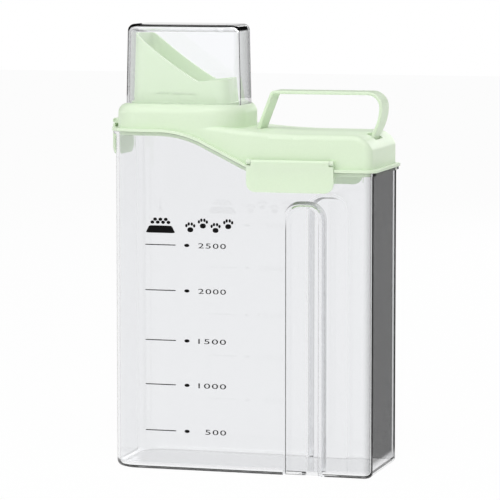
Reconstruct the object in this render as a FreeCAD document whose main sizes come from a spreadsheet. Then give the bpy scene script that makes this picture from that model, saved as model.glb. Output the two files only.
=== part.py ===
import FreeCAD, Part
import Sketcher

import math
import os
import re

# Pet food storage container: a clear tank with grip grooves, a lid with a wavy rim, a pour spout
# under a clear measuring cup, a carrying handle and three clasps. Millimetres, Z up, the front is -Y.
# The origin is on the base, under the middle of the outline. The wavy rim is one line in side view:
# high over the pour end, an S-curve, then low over the grip end. Everything on the rim follows it.

SIZES = {
    "tank_width": 198.0,
    "tank_depth": 82.0,
    "tank_wall": 2.0,
    "tank_floor": 2.4,
    "pour_corner": 20.0,
    "grip_corner": 6.5,
    "base_round": 4.0,
    "rim_high": 248.6,
    "rim_low": 221.8,
    "crest_start": -62.0,
    "crest_radius": 80.0,
    "trough_radius": 40.0,
    "wave_slope": 26.5,
    "lip_out": 1.8,
    "lip_thick": 2.0,
    "groove_middle": 47.5,
    "groove_width": 24.0,
    "groove_top": 196.0,
    "groove_deep": 7.0,
    "groove_corner": 9.0,
    "groove_draft": 14.0,
    "lid_gap": 0.5,
    "flange_out": 3.0,
    "flange_thick": 2.0,
    "lid_inset": 0.7,
    "pour_inset": 2.2,
    "lid_wall": 1.8,
    "skirt_gap": 0.5,
    "skirt_wall": 1.5,
    "skirt_deep": 2.6,
    "deck_height": 249.0,
    "deck_thick": 2.0,
    "deck_round": 4.0,
    "shoulder_radius": 16.0,
    "shoulder_past": 1.0,
    "cove_start": 49.6,
    "cove_radius": 486.0,
    "turret_right": -2.3,
    "turret_corner": 28.0,
    "turret_height": 269.0,
    "turret_round": 7.0,
    "seal_inset": 0.6,
    "seal_wide": 1.2,
    "seal_lift": 0.3,
    "seal_tall": 1.2,
    "seal_gap": 0.1,
    "cup_middle": -50.0,
    "cup_length": 87.5,
    "cup_depth": 58.0,
    "cup_corner": 16.0,
    "cup_wall": 1.6,
    "cup_base": 2.4,
    "cup_height": 64.9,
    "cup_draft": 1.3,
    "cup_round": 5.0,
    "cup_clearance": 0.5,
    "cup_lift": 0.3,
    "recess_floor": 261.5,
    "recess_wall": 2.0,
    "plinth_inset": 2.4,
    "plinth_tall": 8.5,
    "ring_gap": 0.4,
    "ring_sunk": 1.2,
    "ring_level": 2.6,
    "ring_tall": 2.2,
    "spout_left": -87.3,
    "spout_right": -12.9,
    "spout_half": 24.5,
    "spout_corner": 9.5,
    "spout_wall": 2.0,
    "spout_lean_left": 1.7,
    "spout_lean_right": 9.6,
    "spout_lean_side": 0.6,
    "spout_tip": 320.5,
    "spout_lip": 285.2,
    "lip_rise": 5.0,
    "scoop_left": -84.5,
    "scoop_right": -36.0,
    "scoop_radius": 300.0,
    "spigot_inset": 6.5,
    "spigot_gap": 0.3,
    "spigot_deep": 5.5,
    "catch_out": 1.2,
    "catch_gap": 0.2,
    "catch_tall": 1.6,
    "catch_width": 14.0,
    "pivot_out": 2.2,
    "pivot_lift": 7.0,
    "barrel_radius": 1.8,
    "barrel_gap": 0.3,
    "axle_radius": 1.2,
    "axle_gap": 0.05,
    "axle_long": 2.4,
    "clasp_thick": 1.7,
    "hook_bite": 0.9,
    "hook_gap": 0.45,
    "hook_tip": 0.6,
    "side_clasp_middle": 39.0,
    "side_clasp_width": 65.0,
    "side_clasp_drop": 21.7,
    "end_clasp_width": 39.0,
    "end_clasp_drop": 25.1,
    "clasp_corner": 7.0,
    "ear_gap": 0.3,
    "ear_wide": 3.0,
    "ear_radius": 1.95,
    "ear_root": 3.4,
    "ear_clear": 0.45,
    "strap_width": 21.0,
    "strap_thick": 2.4,
    "strap_top": 277.6,
    "strap_left": 5.6,
    "strap_lean": 21.0,
    "strap_bend": 2.5,
    "strap_right": 98.0,
    "strap_shoulder": 10.0,
    "strap_curl": 36.0,
    "curl_angle": 25.0,
    "foot_deep": 4.6,
    "foot_out": 1.0,
    "foot_tall": 1.4,
    "slot_gap": 0.5,
    "slot_open": 1.6,
    "curl_foot": 9.0,
    "curl_catch": 2.2,
}

doc = FreeCAD.newDocument("food_container")
sheet = doc.addObject("Spreadsheet::Sheet", "Sizes")
for row, (alias, number) in enumerate(SIZES.items(), start=1):
    sheet.set("A%d" % row, alias)
    sheet.set("B%d" % row, str(number))
    sheet.setAlias("B%d" % row, alias)
doc.recompute()

V = FreeCAD.Vector
FAR = "tank_width"
BELOW = "-tank_depth"
ABOVE = "turret_height + tank_depth"


def linked(text):
    """The expression with each alias written as a reference to the sheet."""
    return re.sub(r"[a-z]+(?:_[a-z]+)+", lambda word: "Sizes." + word.group(0), text)


def value(text):
    """What such an expression comes to now, used to draw a sketch near its solution."""
    return float(sheet.evalExpression(linked(text)))


def new_body(label):
    body = doc.addObject("PartDesign::Body", label)
    body.Label = label
    return body


def new_sketch(body, role, offset="0"):
    """A sketch on one of the body's own origin planes, moved along that plane's normal."""
    plane = next(item for item in body.Origin.OriginFeatures if item.Role == role)
    sketch = body.newObject("Sketcher::SketchObject", body.Name + "_sketch")
    sketch.AttachmentSupport = [(plane, "")]
    sketch.MapMode = "FlatFace"
    sketch.AttachmentOffset = FreeCAD.Placement(V(0, 0, value(offset)), FreeCAD.Rotation())
    sketch.setExpression("AttachmentOffset.Base.z", linked(offset))
    return sketch


def bind(sketch, kind, *places, to):
    """Adds a dimension to the sketch and ties it to an expression."""
    scale = math.pi / 180 if kind == "Angle" else 1
    index = sketch.addConstraint(Sketcher.Constraint(kind, *places, value(to) * scale))
    sketch.setExpression("Constraints[%d]" % index, linked("(%s)" % to) + (" * 1 deg" if kind == "Angle" else ""))


def line(sketch, start, end):
    return sketch.addGeometry(Part.LineSegment(V(*start, 0), V(*end, 0)), False)


def arc(sketch, centre, radius, first, last):
    """An arc, counter-clockwise from the first angle to the last, in degrees."""
    circle = Part.Circle(V(*centre, 0), V(0, 0, 1), radius)
    return sketch.addGeometry(Part.ArcOfCircle(circle, math.radians(first), math.radians(last)), False)


def tangent(sketch, one, one_end, other, other_end):
    sketch.addConstraint(Sketcher.Constraint("Tangent", one, one_end, other, other_end))


def rounded_outline(sketch, left, right, front, back, left_corner, right_corner):
    """A four-sided outline whose corners are arcs: one radius at the left end, one at the right."""
    x0, x1, y0, y1 = value(left), value(right), value(front), value(back)
    r0, r1 = value(left_corner), value(right_corner)
    front_side = line(sketch, (x0 + r0, y0), (x1 - r1, y0))
    front_right = arc(sketch, (x1 - r1, y0 + r1), r1, 270, 360)
    right_side = line(sketch, (x1, y0 + r1), (x1, y1 - r1))
    back_right = arc(sketch, (x1 - r1, y1 - r1), r1, 0, 90)
    back_side = line(sketch, (x1 - r1, y1), (x0 + r0, y1))
    back_left = arc(sketch, (x0 + r0, y1 - r0), r0, 90, 180)
    left_side = line(sketch, (x0, y1 - r0), (x0, y0 + r0))
    front_left = arc(sketch, (x0 + r0, y0 + r0), r0, 180, 270)
    loop = [front_side, front_right, right_side, back_right, back_side, back_left, left_side, front_left]
    for this, following in zip(loop, loop[1:] + loop[:1]):
        tangent(sketch, this, 2, following, 1)
    for side in (front_side, back_side):
        sketch.addConstraint(Sketcher.Constraint("Horizontal", side))
    for side in (right_side, left_side):
        sketch.addConstraint(Sketcher.Constraint("Vertical", side))
    bind(sketch, "DistanceX", left_side, 1, to=left)
    bind(sketch, "DistanceX", right_side, 1, to=right)
    bind(sketch, "DistanceY", front_side, 1, to=front)
    bind(sketch, "DistanceY", back_side, 1, to=back)
    bind(sketch, "Radius", front_left, to=left_corner)
    bind(sketch, "Radius", back_left, to=left_corner)
    bind(sketch, "Radius", front_right, to=right_corner)
    bind(sketch, "Radius", back_right, to=right_corner)


def straight_outline(sketch, points):
    """A closed outline of straight lines through points whose places are expressions."""
    spots = [(value(x), value(y)) for x, y in points]
    sides = [line(sketch, a, b) for a, b in zip(spots, spots[1:] + spots[:1])]
    for this, following in zip(sides, sides[1:] + sides[:1]):
        sketch.addConstraint(Sketcher.Constraint("Coincident", this, 2, following, 1))
    for side, (x, y) in zip(sides, points):
        bind(sketch, "DistanceX", side, 1, to=x)
        bind(sketch, "DistanceY", side, 1, to=y)


def round_outline(sketch, radius):
    circle = sketch.addGeometry(Part.Circle(V(0, 0, 0), V(0, 0, 1), value(radius)), False)
    sketch.addConstraint(Sketcher.Constraint("Coincident", circle, 3, -1, 1))
    bind(sketch, "Radius", circle, to=radius)


def plan_outline(sketch, inset):
    """The tank's outline in plan, drawn in by the inset, or let out where it is negative."""
    rounded_outline(
        sketch,
        "-tank_width / 2 + (%s)" % inset,
        "tank_width / 2 - (%s)" % inset,
        "-tank_depth / 2 + (%s)" % inset,
        "tank_depth / 2 - (%s)" % inset,
        "pour_corner - (%s)" % inset,
        "grip_corner - (%s)" % inset,
    )


def turret_outline(sketch, inset):
    """The pour end's outline: the tank's own round end on the left, a wider round on the right."""
    rounded_outline(
        sketch,
        "-tank_width / 2 + pour_inset + (%s)" % inset,
        "turret_right - (%s)" % inset,
        "-tank_depth / 2 + lid_inset + (%s)" % inset,
        "tank_depth / 2 - lid_inset - (%s)" % inset,
        "pour_corner - pour_inset - (%s)" % inset,
        "turret_corner - (%s)" % inset,
    )


def wall_outline(sketch, inset):
    """The lid's walls in plan: the tank's outline, set back a little more at the pour end."""
    rounded_outline(
        sketch,
        "-tank_width / 2 + pour_inset + (%s)" % inset,
        "tank_width / 2 - lid_inset - (%s)" % inset,
        "-tank_depth / 2 + lid_inset + (%s)" % inset,
        "tank_depth / 2 - lid_inset - (%s)" % inset,
        "pour_corner - pour_inset - (%s)" % inset,
        "grip_corner - lid_inset - (%s)" % inset,
    )


def cup_outline(sketch, inset):
    """The measuring cup's mouth in plan, drawn in by the inset."""
    rounded_outline(
        sketch,
        "cup_middle - cup_length / 2 + (%s)" % inset,
        "cup_middle + cup_length / 2 - (%s)" % inset,
        "-cup_depth / 2 + (%s)" % inset,
        "cup_depth / 2 - (%s)" % inset,
        "cup_corner - (%s)" % inset,
        "cup_corner - (%s)" % inset,
    )


def wave_outline(sketch, offset, level):
    """The rim's wavy line, moved along its normal, closed by a level line above or below it."""
    lift, slope = value(offset), math.radians(value("wave_slope"))
    high, low = value("rim_high"), value("rim_low")
    crest, trough = value("crest_radius"), value("trough_radius")
    start, reach, end_level = value("crest_start"), value(FAR), value(level)
    ramp = (high - low - (crest + trough) * (1 - math.cos(slope))) / math.sin(slope)
    middle = start + (crest + trough) * math.sin(slope) + ramp * math.cos(slope)
    crest_end = (start + (crest + lift) * math.sin(slope), high - crest + (crest + lift) * math.cos(slope))
    trough_end = (middle - (trough - lift) * math.sin(slope), low + trough - (trough - lift) * math.cos(slope))
    top = line(sketch, (-reach, high + lift), (start, high + lift))
    crest_arc = arc(sketch, (start, high - crest), crest + lift, 90 - value("wave_slope"), 90)
    ramp_line = line(sketch, crest_end, trough_end)
    trough_arc = arc(sketch, (middle, low + trough), trough - lift, 270 - value("wave_slope"), 270)
    bottom = line(sketch, (middle, low + lift), (reach, low + lift))
    right = line(sketch, (reach, low + lift), (reach, end_level))
    closing = line(sketch, (reach, end_level), (-reach, end_level))
    left = line(sketch, (-reach, end_level), (-reach, high + lift))
    tangent(sketch, top, 2, crest_arc, 2)
    tangent(sketch, crest_arc, 1, ramp_line, 1)
    tangent(sketch, ramp_line, 2, trough_arc, 1)
    tangent(sketch, trough_arc, 2, bottom, 1)
    for this, following in ((bottom, right), (right, closing), (closing, left), (left, top)):
        sketch.addConstraint(Sketcher.Constraint("Coincident", this, 2, following, 1))
    for side in (top, bottom, closing):
        sketch.addConstraint(Sketcher.Constraint("Horizontal", side))
    for side in (left, right):
        sketch.addConstraint(Sketcher.Constraint("Vertical", side))
    bind(sketch, "Radius", crest_arc, to="crest_radius + (%s)" % offset)
    bind(sketch, "Radius", trough_arc, to="trough_radius - (%s)" % offset)
    bind(sketch, "DistanceX", crest_arc, 3, to="crest_start")
    bind(sketch, "DistanceY", crest_arc, 3, to="rim_high - crest_radius")
    bind(sketch, "DistanceY", trough_arc, 3, to="rim_low + trough_radius")
    bind(sketch, "Angle", ramp_line, to="-wave_slope")
    bind(sketch, "DistanceX", left, 1, to="-" + FAR)
    bind(sketch, "DistanceX", right, 1, to=FAR)
    bind(sketch, "DistanceY", closing, 1, to=level)


def pad(body, sketch, length, draft=None, middle=False):
    feature = body.newObject("PartDesign::Pad", body.Name + "_pad")
    feature.Profile = sketch
    feature.Length = value(length)
    feature.setExpression("Length", linked(length))
    feature.Midplane = middle
    if draft:
        feature.TaperAngle = value(draft)
        feature.setExpression("TaperAngle", linked(draft))
    doc.recompute()
    return feature


def pocket(body, sketch, length, draft=None, reverse=False):
    feature = body.newObject("PartDesign::Pocket", body.Name + "_pocket")
    feature.Profile = sketch
    feature.Length = value(length)
    feature.setExpression("Length", linked(length))
    feature.Reversed = reverse
    if draft:
        feature.TaperAngle = value(draft)
        feature.setExpression("TaperAngle", linked(draft))
    return cut_checked(feature)


def pocket_through(body, sketch):
    """Cuts the sketch's region out of the whole body, both ways from its plane."""
    feature = body.newObject("PartDesign::Pocket", body.Name + "_pocket")
    feature.Profile = sketch
    feature.Type = "ThroughAll"
    feature.Midplane = True
    return cut_checked(feature)


def cut_checked(feature):
    """A pocket that points away from its body cuts nothing and says nothing, so volumes are compared."""
    before = feature.BaseFeature.Shape.Volume
    doc.recompute()
    if feature.Shape.isNull() or feature.Shape.Volume >= before - 1e-3:
        raise ValueError(feature.Name + " removed nothing")
    return feature


def fillet(body, radius, wanted):
    """Rounds the edges of the body's last feature that the wanted test picks."""
    base = body.Tip
    names = ["Edge%d" % (i + 1) for i, edge in enumerate(base.Shape.Edges) if wanted(edge)]
    feature = body.newObject("PartDesign::Fillet", body.Name + "_round")
    feature.Base = (base, names)
    feature.Radius = value(radius)
    feature.setExpression("Radius", linked(radius))
    doc.recompute()
    return feature


def level_edges(height):
    """Picks the edges that lie flat at one height."""
    place = value(height)
    return lambda edge: abs(edge.BoundBox.ZMin - place) < 1e-4 and abs(edge.BoundBox.ZMax - place) < 1e-4


def pad_up(body, draw, inset, bottom, top, draft=None):
    """Stands one of the plan outlines up between two heights."""
    sketch = new_sketch(body, "XY_Plane", bottom)
    draw(sketch, inset)
    return pad(body, sketch, "(%s) - (%s)" % (top, bottom), draft)


def trim_above_wave(body, offset):
    sketch = new_sketch(body, "XZ_Plane")
    wave_outline(sketch, offset, ABOVE)
    return pocket_through(body, sketch)


def trim_below_wave(body, offset):
    sketch = new_sketch(body, "XZ_Plane")
    wave_outline(sketch, offset, BELOW)
    return pocket_through(body, sketch)


def cut_grooves(body, grow):
    """The thumb and finger grooves, one in each broad side, open at the base and arched on top."""
    for offset, reverse in (("tank_depth / 2", False), ("-tank_depth / 2", True)):
        sketch = new_sketch(body, "XZ_Plane", offset)
        arched_outline(sketch, grow)
        pocket(body, sketch, "groove_deep + (%s)" % grow, "groove_draft", reverse)


def arched_outline(sketch, grow):
    """Two upright sides that start below the base, joined by a flat top with round corners."""
    left = "groove_middle - groove_width / 2 - (%s)" % grow
    right = "groove_middle + groove_width / 2 + (%s)" % grow
    top, corner, base = "groove_top + (%s)" % grow, "groove_corner + (%s)" % grow, "-2 * groove_deep"
    x0, x1, z1, r, z0 = value(left), value(right), value(top), value(corner), value(base)
    floor_line = line(sketch, (x0, z0), (x1, z0))
    right_side = line(sketch, (x1, z0), (x1, z1 - r))
    right_arc = arc(sketch, (x1 - r, z1 - r), r, 0, 90)
    top_line = line(sketch, (x1 - r, z1), (x0 + r, z1))
    left_arc = arc(sketch, (x0 + r, z1 - r), r, 90, 180)
    left_side = line(sketch, (x0, z1 - r), (x0, z0))
    for this, following in ((right_side, right_arc), (right_arc, top_line), (top_line, left_arc), (left_arc, left_side)):
        tangent(sketch, this, 2, following, 1)
    sketch.addConstraint(Sketcher.Constraint("Coincident", floor_line, 2, right_side, 1))
    sketch.addConstraint(Sketcher.Constraint("Coincident", left_side, 2, floor_line, 1))
    for side in (floor_line, top_line):
        sketch.addConstraint(Sketcher.Constraint("Horizontal", side))
    for side in (right_side, left_side):
        sketch.addConstraint(Sketcher.Constraint("Vertical", side))
    bind(sketch, "Radius", right_arc, to=corner)
    bind(sketch, "Radius", left_arc, to=corner)
    bind(sketch, "DistanceX", left_side, 1, to=left)
    bind(sketch, "DistanceX", right_side, 1, to=right)
    bind(sketch, "DistanceY", top_line, 1, to=top)
    bind(sketch, "DistanceY", floor_line, 1, to=base)


def combine(kind, label, base, tools):
    """A Part boolean: one base, less or with one or more tools."""
    result = doc.addObject(kind, label)
    if kind == "Part::MultiFuse":
        result.Shapes = [base] + tools
    else:
        result.Base = base
        result.Tool = tools[0]
    result.Label = label
    doc.recompute()
    return result


def make_tank():
    """Clear moulded tank: lip and walls trimmed to the wavy rim, grooves let in from both sides."""
    outside = new_body("tank_outside")
    pad_up(outside, plan_outline, "-lip_out", "rim_low - 2 * lip_thick", "rim_high + lip_thick")
    trim_below_wave(outside, "-lip_thick")
    pad_up(outside, plan_outline, "0", "0", "rim_high + lip_thick")
    trim_above_wave(outside, "0")
    fillet(outside, "base_round", level_edges("0"))
    cut_grooves(outside, "0")
    hollow = new_body("tank_hollow")
    pad_up(hollow, plan_outline, "tank_wall", "tank_floor", "rim_high + lip_thick")
    fillet(hollow, "base_round - tank_wall / 2", level_edges("tank_floor"))
    cut_grooves(hollow, "tank_wall")
    return combine("Part::Cut", "tank", outside, [hollow])


def make_lid_rim():
    """The flange that follows the tank's lip, and the skirt that plugs into the tank's mouth."""
    rim = new_body("lid_rim")
    pad_up(rim, plan_outline, "-flange_out", "rim_low", "rim_high + 2 * flange_thick")
    trim_below_wave(rim, "lid_gap")
    pad_up(rim, plan_outline, "tank_wall + skirt_gap", "rim_low - 2 * skirt_deep", "rim_high + 2 * flange_thick")
    trim_below_wave(rim, "-skirt_deep")
    trim_above_wave(rim, "lid_gap + flange_thick")
    return rim


def deck_outline(sketch, sunk):
    """The region over the deck: a slow cove up to the turret, a level stretch and a round shoulder."""
    depth, start, cove = value(sunk), value("cove_start"), value("cove_radius")
    height, shoulder = value("deck_height"), value("shoulder_radius")
    end = value("tank_width / 2 - lid_inset")
    reach, high = value("turret_right - turret_corner"), value("turret_height + cove_start")
    turn = math.degrees(math.asin((start - reach) / (cove + depth)))
    left_end = (reach, height + cove - (cove + depth) * math.cos(math.radians(turn)))
    cove_arc = arc(sketch, (start, height + cove), cove + depth, 270 - turn, 270)
    middle = end - shoulder + value("shoulder_past")
    level = line(sketch, (start, height - depth), (middle, height - depth))
    shoulder_arc = arc(sketch, (middle, height - shoulder), shoulder - depth, 0, 90)
    drop = line(sketch, (middle + shoulder - depth, height - shoulder), (2 * end, height - shoulder))
    right = line(sketch, (2 * end, height - shoulder), (2 * end, high))
    top = line(sketch, (2 * end, high), (reach, high))
    left = line(sketch, (reach, high), left_end)
    tangent(sketch, cove_arc, 2, level, 1)
    tangent(sketch, level, 2, shoulder_arc, 2)
    for one, one_end, other in ((shoulder_arc, 1, drop), (drop, 2, right), (right, 2, top), (top, 2, left)):
        sketch.addConstraint(Sketcher.Constraint("Coincident", one, one_end, other, 1))
    sketch.addConstraint(Sketcher.Constraint("Coincident", left, 2, cove_arc, 1))
    for side in (level, drop, top):
        sketch.addConstraint(Sketcher.Constraint("Horizontal", side))
    for side in (right, left):
        sketch.addConstraint(Sketcher.Constraint("Vertical", side))
    bind(sketch, "Radius", cove_arc, to="cove_radius + (%s)" % sunk)
    bind(sketch, "Radius", shoulder_arc, to="shoulder_radius - (%s)" % sunk)
    bind(sketch, "DistanceX", cove_arc, 3, to="cove_start")
    bind(sketch, "DistanceY", cove_arc, 3, to="deck_height + cove_radius")
    bind(sketch, "DistanceX", shoulder_arc, 3, to="tank_width / 2 - lid_inset - shoulder_radius + shoulder_past")
    bind(sketch, "DistanceX", left, 1, to="turret_right - turret_corner")
    bind(sketch, "DistanceX", right, 1, to="tank_width - 2 * lid_inset")
    bind(sketch, "DistanceY", drop, 1, to="deck_height - shoulder_radius")
    bind(sketch, "DistanceY", top, 1, to="turret_height + cove_start")


def trim_above_deck(body, sunk):
    sketch = new_sketch(body, "XZ_Plane")
    deck_outline(sketch, sunk)
    return pocket_through(body, sketch)


def make_lid_top():
    """The walls, the deck under the handle and the turret that carries spout and cup."""
    top = new_body("lid_top")
    pad_up(top, wall_outline, "0", "rim_low", "turret_height")
    trim_above_deck(top, "0")
    limit = value("turret_right")
    fillet(top, "deck_round", lambda edge: top_edge(edge, limit))
    pad_up(top, turret_outline, "0", "rim_low", "turret_height")
    fillet(top, "turret_round", level_edges("turret_height"))
    trim_below_wave(top, "lid_gap")
    recess = new_sketch(top, "XY_Plane", "turret_height")
    cup_outline(recess, "-cup_clearance")
    pocket(top, recess, "turret_height - recess_floor")
    opening = new_sketch(top, "XY_Plane", "recess_floor")
    cup_outline(opening, "spigot_inset - spigot_gap")
    pocket(top, opening, "2 * recess_wall")
    for left, right in (slot_ends("left"), slot_ends("right")):
        slot = new_sketch(top, "XY_Plane", "deck_height + 2 * deck_thick")
        reach = "(strap_width / 2 + slot_gap)"
        straight_outline(slot, [(left, "-" + reach), (right, "-" + reach), (right, reach), (left, reach)])
        pocket(top, slot, "curl_foot + 2 * deck_thick")
    return top


def top_edge(edge, limit):
    """Picks the edges between the deck's upper surface and the walls, right of the turret's end."""
    box = edge.BoundBox
    side, low = value("tank_depth / 2 - lid_inset - grip_corner"), value("deck_height - shoulder_radius")
    on_side = min(abs(box.YMin), abs(box.YMax)) > side
    return on_side and box.XMax > limit and box.XLength > 1 and box.ZMax > low + 1


def slot_ends(side):
    """Where the handle's slots begin and end along the deck; the right one opens under the curl."""
    if side == "left":
        middle = "strap_left"
        return ("%s - strap_thick / 2 - slot_gap" % middle, "%s + strap_thick / 2 + 3 * slot_gap" % middle)
    return (
        "(%s) - strap_thick / 2 - slot_open" % curl_crossing("deck_height - curl_foot / 2 - foot_tall"),
        "(%s) + strap_thick + slot_gap / 2" % curl_crossing("deck_height - curl_foot / 4"),
    )


def curl_crossing(height):
    """Where the middle of the handle's right leg is at a height below the curl."""
    return (
        "strap_right - strap_curl * (1 - cos(curl_angle * 1 deg)) - tan(curl_angle * 1 deg)"
        " * (strap_top - strap_shoulder - strap_curl * sin(curl_angle * 1 deg) - (%s))" % height
    )


def make_lid_hollow():
    """The space inside the lid; above the flange it is a wall's thickness in from the outside."""
    hollow = new_body("lid_hollow")
    pad_up(hollow, wall_outline, "lid_wall", "rim_low", "turret_height - recess_wall")
    trim_above_deck(hollow, "deck_thick")
    pad_up(hollow, turret_outline, "lid_wall", "rim_low", "turret_height - recess_wall")
    fillet(hollow, "turret_round - lid_wall", level_edges("turret_height - recess_wall"))
    around_recess = new_sketch(hollow, "XY_Plane", "turret_height")
    cup_outline(around_recess, "-cup_clearance - recess_wall")
    pocket(hollow, around_recess, "turret_height - recess_floor + recess_wall")
    trim_below_wave(hollow, "lid_gap + flange_thick")
    pad_up(hollow, plan_outline, "tank_wall + skirt_gap + skirt_wall", "rim_low - 3 * skirt_deep",
           "deck_height - shoulder_radius")
    pad_up(hollow, throat_outline, "0", "rim_low", "rim_high + 2 * flange_thick")
    return hollow


def throat_outline(sketch, inset):
    """The mouth of the tank under the turret, inside the skirt."""
    edge = "tank_wall + skirt_gap + skirt_wall + (%s)" % inset
    rounded_outline(
        sketch,
        "-tank_width / 2 + " + edge,
        "turret_right - lid_wall",
        "-tank_depth / 2 + " + edge,
        "tank_depth / 2 - (%s)" % edge,
        "pour_corner - (%s)" % edge,
        "turret_corner - lid_wall",
    )


def wavy_ring(label, outer, inner, bottom, top):
    """A ring between two plan outlines and between two heights over the tank's wavy rim."""
    ring = new_body(label)
    sketch = new_sketch(ring, "XY_Plane", "rim_low - lip_thick")
    plan_outline(sketch, outer)
    plan_outline(sketch, inner)
    pad(ring, sketch, "rim_high - rim_low + 4 * lip_thick")
    trim_below_wave(ring, bottom)
    trim_above_wave(ring, top)
    return ring


def make_ears(label, width, reach):
    """Two ears with round sockets for a clasp's axles, in the clasp's own frame."""
    ears = new_body(label)
    for start in ("(%s) / 2 - ear_wide" % width, "-(%s) / 2" % width):
        sketch = new_sketch(ears, "YZ_Plane", start)
        radius, root = value("ear_radius"), value(reach)
        cap = arc(sketch, (0, 0), radius, 90, 270)
        below = line(sketch, (0, -radius), (root, -radius))
        end = line(sketch, (root, -radius), (root, radius))
        above = line(sketch, (root, radius), (0, radius))
        tangent(sketch, cap, 2, below, 1)
        tangent(sketch, above, 2, cap, 1)
        sketch.addConstraint(Sketcher.Constraint("Coincident", below, 2, end, 1))
        sketch.addConstraint(Sketcher.Constraint("Coincident", end, 2, above, 1))
        sketch.addConstraint(Sketcher.Constraint("Horizontal", below))
        sketch.addConstraint(Sketcher.Constraint("Horizontal", above))
        sketch.addConstraint(Sketcher.Constraint("Vertical", end))
        sketch.addConstraint(Sketcher.Constraint("Coincident", cap, 3, -1, 1))
        bind(sketch, "Radius", cap, to="ear_radius")
        bind(sketch, "DistanceX", end, 1, to=reach)
        pad(ears, sketch, "ear_wide")
    socket = new_sketch(ears, "YZ_Plane")
    round_outline(socket, "axle_radius + axle_gap")
    pocket_through(ears, socket)
    return ears


def make_clasp(label, width, drop):
    """A clasp in its own frame: axle line along X at the origin, plate down -Z, outer face to -Y."""
    clasp = new_body(label)
    between_ears = "(%s) - 2 * (ear_wide + ear_gap)" % width
    plate = new_sketch(clasp, "YZ_Plane")
    tip = "pivot_out - lip_out + hook_bite"
    face = "pivot_lift + lip_thick + hook_gap - (pivot_out - lip_out)"
    straight_outline(
        plate,
        [
            ("-clasp_thick", "-ear_radius - ear_clear"),
            ("-clasp_thick", "-(%s)" % drop),
            ("0", "-(%s)" % drop),
            ("0", "-(%s) - 2 * (%s) - hook_tip" % (face, tip)),
            (tip, "-(%s) - (%s) - hook_tip" % (face, tip)),
            (tip, "-(%s) - (%s)" % (face, tip)),
            ("0", "-(%s)" % face),
            ("0", "-ear_radius - ear_clear"),
        ],
    )
    pad(clasp, plate, width, middle=True)
    lower = value("-(%s)" % drop)
    half = value(width) / 2
    fillet(
        clasp,
        "clasp_corner",
        lambda edge: abs(edge.BoundBox.ZMax - lower) < 1e-4
        and edge.BoundBox.YLength > 0.5
        and abs(abs(edge.BoundBox.XMin) - half) < 1e-4
        and edge.BoundBox.XLength < 1e-4,
    )
    neck = new_sketch(clasp, "YZ_Plane")
    straight_outline(
        neck,
        [
            ("-clasp_thick", "0"),
            ("-clasp_thick", "-2 * ear_radius"),
            ("0", "-2 * ear_radius"),
            ("0", "0"),
        ],
    )
    pad(clasp, neck, between_ears, middle=True)
    barrel = new_sketch(clasp, "YZ_Plane")
    round_outline(barrel, "barrel_radius")
    pad(clasp, barrel, between_ears, middle=True)
    axle = new_sketch(clasp, "YZ_Plane")
    round_outline(axle, "axle_radius")
    pad(clasp, axle, "(%s) + 2 * (ear_gap + axle_long)" % between_ears, middle=True)
    return clasp


def spout_outline(sketch, level, inset):
    """The leaning spout's outline at a level: its four walls lean in by angles of their own."""
    rise = "(%s - recess_floor - plinth_tall)" % level
    lean = {side: "%s * tan(spout_lean_%s * 1 deg)" % (rise, side) for side in ("left", "right", "side")}
    rounded_outline(
        sketch,
        "spout_left + %s + (%s)" % (lean["left"], inset),
        "spout_right - %s - (%s)" % (lean["right"], inset),
        "-spout_half + %s + (%s)" % (lean["side"], inset),
        "spout_half - %s - (%s)" % (lean["side"], inset),
        "spout_corner - (%s)" % inset,
        "spout_corner - (%s)" % inset,
    )


def spout_loft(body, kind, bottom, top, inset):
    """A loft between the spout's outlines at two levels."""
    sketches = []
    for level in (bottom, top):
        sketch = new_sketch(body, "XY_Plane", level)
        spout_outline(sketch, level, inset)
        sketches.append(sketch)
    doc.recompute()
    loft = body.newObject(kind, body.Name + "_loft")
    loft.Profile = sketches[0]
    loft.Sections = [sketches[1]]
    loft.Ruled = True
    doc.recompute()
    return loft


def make_spout():
    """Pour spout: plinth with a ring groove, leaning tube cut to a scoop, spigot with two catches."""
    spout = new_body("pour_spout")
    edge = "cup_wall + plinth_inset"
    pad_up(spout, cup_outline, edge, "recess_floor", "recess_floor + ring_level")
    pad_up(spout, cup_outline, edge + " + ring_sunk", "recess_floor + ring_level",
           "recess_floor + ring_level + ring_tall + seal_gap")
    pad_up(spout, cup_outline, edge, "recess_floor + ring_level + ring_tall + seal_gap",
           "recess_floor + plinth_tall")
    pad_up(spout, cup_outline, "spigot_inset", "recess_floor - spigot_deep", "recess_floor")
    catches = new_sketch(spout, "XY_Plane", "recess_floor - recess_wall - catch_gap - catch_tall")
    left, right = "cup_middle - catch_width / 2", "cup_middle + catch_width / 2"
    reach = "(cup_depth / 2 - spigot_inset + catch_out)"
    straight_outline(catches, [(left, "-" + reach), (right, "-" + reach), (right, reach), (left, reach)])
    pad(spout, catches, "catch_tall")
    spout_loft(spout, "PartDesign::AdditiveLoft", "recess_floor + plinth_tall", "spout_tip", "0")
    throat = new_sketch(spout, "XY_Plane", "recess_floor - spigot_deep")
    cup_outline(throat, "spigot_inset + spout_wall")
    pocket(spout, throat, "plinth_tall + spigot_deep", reverse=True)
    spout_loft(spout, "PartDesign::SubtractiveLoft", "recess_floor + plinth_tall - 0.01", "spout_tip", "spout_wall")
    scoop = new_sketch(spout, "XZ_Plane")
    scoop_outline(scoop)
    pocket_through(spout, scoop)
    return spout


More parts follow.
